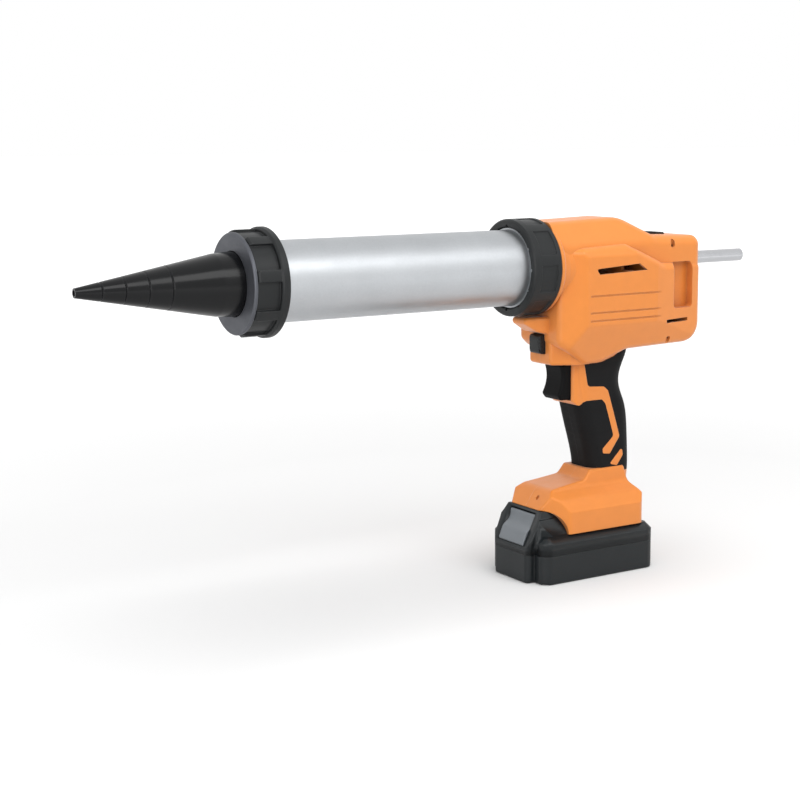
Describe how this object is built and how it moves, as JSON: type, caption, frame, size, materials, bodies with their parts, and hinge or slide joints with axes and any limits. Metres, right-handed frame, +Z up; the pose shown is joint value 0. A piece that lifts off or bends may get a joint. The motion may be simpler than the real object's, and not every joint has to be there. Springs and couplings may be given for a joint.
{
  "type": "cordless caulking tool",
  "caption": "Pistol-grip cordless caulking gun: a rack-driven piston in a metal barrel with a threaded nozzle end, and a slide-on battery under the handle.",
  "frame": {"origin": "centre of the battery's flat underside", "axes": "+X towards the nozzle, +Y to the tool's left, +Z up"},
  "size_m": [0.5654, 0.075, 0.2741],
  "materials": {
    "orange_shell": "fine moulded texture",
    "black_plastic": "satin moulded",
    "black_rubber": "soft matte overmould",
    "nozzle_black": "semi-gloss moulded",
    "latch_grey": "satin moulded",
    "tube_metal": "satin anodised",
    "bright_steel": "ground",
    "plate_grey": "bead-blasted",
    "gear_steel": "cut teeth",
    "cast_alloy": "die cast",
    "bronze": "sintered",
    "motor_steel": "plated can",
    "magnet": "sintered",
    "inner_plastic": "plain moulded",
    "seal_rubber": "plain",
    "board_green": "solder mask",
    "cell_wrap": "shrink sleeve",
    "screw_black": "black oxide"
  },
  "bodies": {
    "housing": {"housing_left": "orange_shell", "housing_right": "orange_shell", "grip_left": "black_rubber", "grip_right": "black_rubber", "housing_screws": "screw_black", "barrel_tube": "tube_metal", "tube_bead": "bright_steel", "gear_case": "cast_alloy", "gear_cover": "cast_alloy", "shaft_bushes": "bronze", "rod_bush_front": "bronze", "rod_bush_rear": "bronze", "ring_gear": "gear_steel", "motor_can": "motor_steel", "motor_magnets": "magnet", "switch_box": "inner_plastic", "trigger_spring": "gear_steel", "lock_spring": "gear_steel", "release_spring": "gear_steel", "rod_brake": "gear_steel", "terminal_block": "inner_plastic", "contact_blades": "bronze", "control_board": "board_green"},
    "collar": {"barrel_collar": "black_plastic"},
    "front_end": {"nozzle": "nozzle_black", "end_plate": "plate_grey"},
    "nut": {"front_nut": "black_plastic"},
    "rod": {"rack_rod": "bright_steel", "piston": "inner_plastic", "piston_seal": "seal_rubber", "piston_screw": "gear_steel"},
    "pinion": {"pinion_shaft": "gear_steel", "rack_pinion": "gear_steel", "final_gear": "gear_steel"},
    "lay": {"lay_shaft": "gear_steel", "lay_pinion": "gear_steel", "crown_gear": "gear_steel"},
    "carrier": {"planet_carrier": "gear_steel", "bevel_pinion": "gear_steel"},
    "planet_1": {"planet_gear_1": "gear_steel"},
    "planet_2": {"planet_gear_2": "gear_steel"},
    "planet_3": {"planet_gear_3": "gear_steel"},
    "rotor": {"rotor": "motor_steel", "sun_gear": "gear_steel", "cooling_fan": "inner_plastic"},
    "trigger": {"trigger": "black_plastic", "switch_plunger": "inner_plastic"},
    "lock": {"lock_button": "black_plastic"},
    "release": {"release_button": "black_plastic"},
    "battery": {"battery_case": "black_plastic", "battery_cover": "black_plastic", "battery_cells": "cell_wrap", "cell_holder": "inner_plastic", "battery_board": "board_green", "battery_screws": "screw_black", "latch_spring": "gear_steel"},
    "latch": {"battery_latch": "latch_grey"}
  },
  "joints": [
    {"name": "rod_slide", "type": "slide", "parent": "housing", "child": "rod", "axis": [1, 0, 0], "range_m": [-0.185, 0.005]},
    {"name": "pinion_spin", "type": "hinge", "parent": "housing", "child": "pinion", "pos_m": [0.0136, 0, 0.22345], "axis": [0, 1, 0], "range_deg": [-1066, 35]},
    {"name": "lay_spin", "type": "hinge", "parent": "housing", "child": "lay", "pos_m": [-0.00193, 0, 0.2], "axis": [0, 1, 0], "range_deg": [-64, 2126]},
    {"name": "carrier_spin", "type": "hinge", "parent": "housing", "child": "carrier", "pos_m": [0, 0, 0.2], "axis": [1, 0, 0], "range_deg": [-3186, 92]},
    {"name": "planet_1_spin", "type": "hinge", "parent": "carrier", "child": "planet_1", "pos_m": [0, 0.0108, 0.2], "axis": [1, 0, 0], "range_deg": [-247, 8910]},
    {"name": "planet_2_spin", "type": "hinge", "parent": "carrier", "child": "planet_2", "pos_m": [0, -0.0054, 0.20935], "axis": [1, 0, 0], "range_deg": [-247, 8910]},
    {"name": "planet_3_spin", "type": "hinge", "parent": "carrier", "child": "planet_3", "pos_m": [0, -0.0054, 0.19065], "axis": [1, 0, 0], "range_deg": [-247, 8910]},
    {"name": "rotor_spin", "type": "hinge", "parent": "housing", "child": "rotor", "pos_m": [0, 0, 0.2], "axis": [1, 0, 0], "range_deg": [-14316, 393]},
    {"name": "collar_turn", "type": "hinge", "parent": "housing", "child": "collar", "pos_m": [0.05, 0, 0.2366], "axis": [1, 0, 0], "range_deg": [0, 45]},
    {"name": "nut_turn", "type": "hinge", "parent": "front_end", "child": "nut", "pos_m": [0.27, 0, 0.2366], "axis": [1, 0, 0], "range_deg": [0, 1080]},
    {"name": "nozzle_slide", "type": "slide", "parent": "housing", "child": "front_end", "axis": [1, 0, 0], "range_m": [0, 0.012]},
    {"name": "trigger_pull", "type": "slide", "parent": "housing", "child": "trigger", "axis": [-1, 0, 0], "range_m": [0, 0.006], "stiffness_N_per_m": 700, "springref_m": -0.003, "deforming": ["trigger_spring"]},
    {"name": "lock_press", "type": "slide", "parent": "housing", "child": "lock", "axis": [-1, 0, 0], "range_m": [0, 0.003], "stiffness_N_per_m": 400, "springref_m": -0.002, "deforming": ["lock_spring"]},
    {"name": "release_press", "type": "slide", "parent": "housing", "child": "release", "axis": [0, 0, -1], "range_m": [0, 0.003], "stiffness_N_per_m": 500, "springref_m": -0.003, "deforming": ["release_spring"]},
    {"name": "battery_slide", "type": "slide", "parent": "housing", "child": "battery", "axis": [1, 0, 0], "range_m": [0, 0.1]},
    {"name": "latch_press", "type": "slide", "parent": "battery", "child": "latch", "axis": [-0.8964, 0, -0.4432], "range_m": [0, 0.003], "stiffness_N_per_m": 500, "springref_m": -0.003, "deforming": ["latch_spring"]}
  ],
  "couplings": [
    {"joint": "pinion_spin", "follows": "rod_slide", "rad_per_m": 100},
    {"joint": "lay_spin", "follows": "rod_slide", "rad_per_m": -200},
    {"joint": "carrier_spin", "follows": "rod_slide", "rad_per_m": 300},
    {"joint": "planet_1_spin", "follows": "rod_slide", "rad_per_m": -840},
    {"joint": "planet_2_spin", "follows": "rod_slide", "rad_per_m": -840},
    {"joint": "planet_3_spin", "follows": "rod_slide", "rad_per_m": -840},
    {"joint": "rotor_spin", "follows": "rod_slide", "rad_per_m": 1350},
    {"joint": "nut_turn", "follows": "nozzle_slide", "rad_per_m": 1570.8}
  ]
}
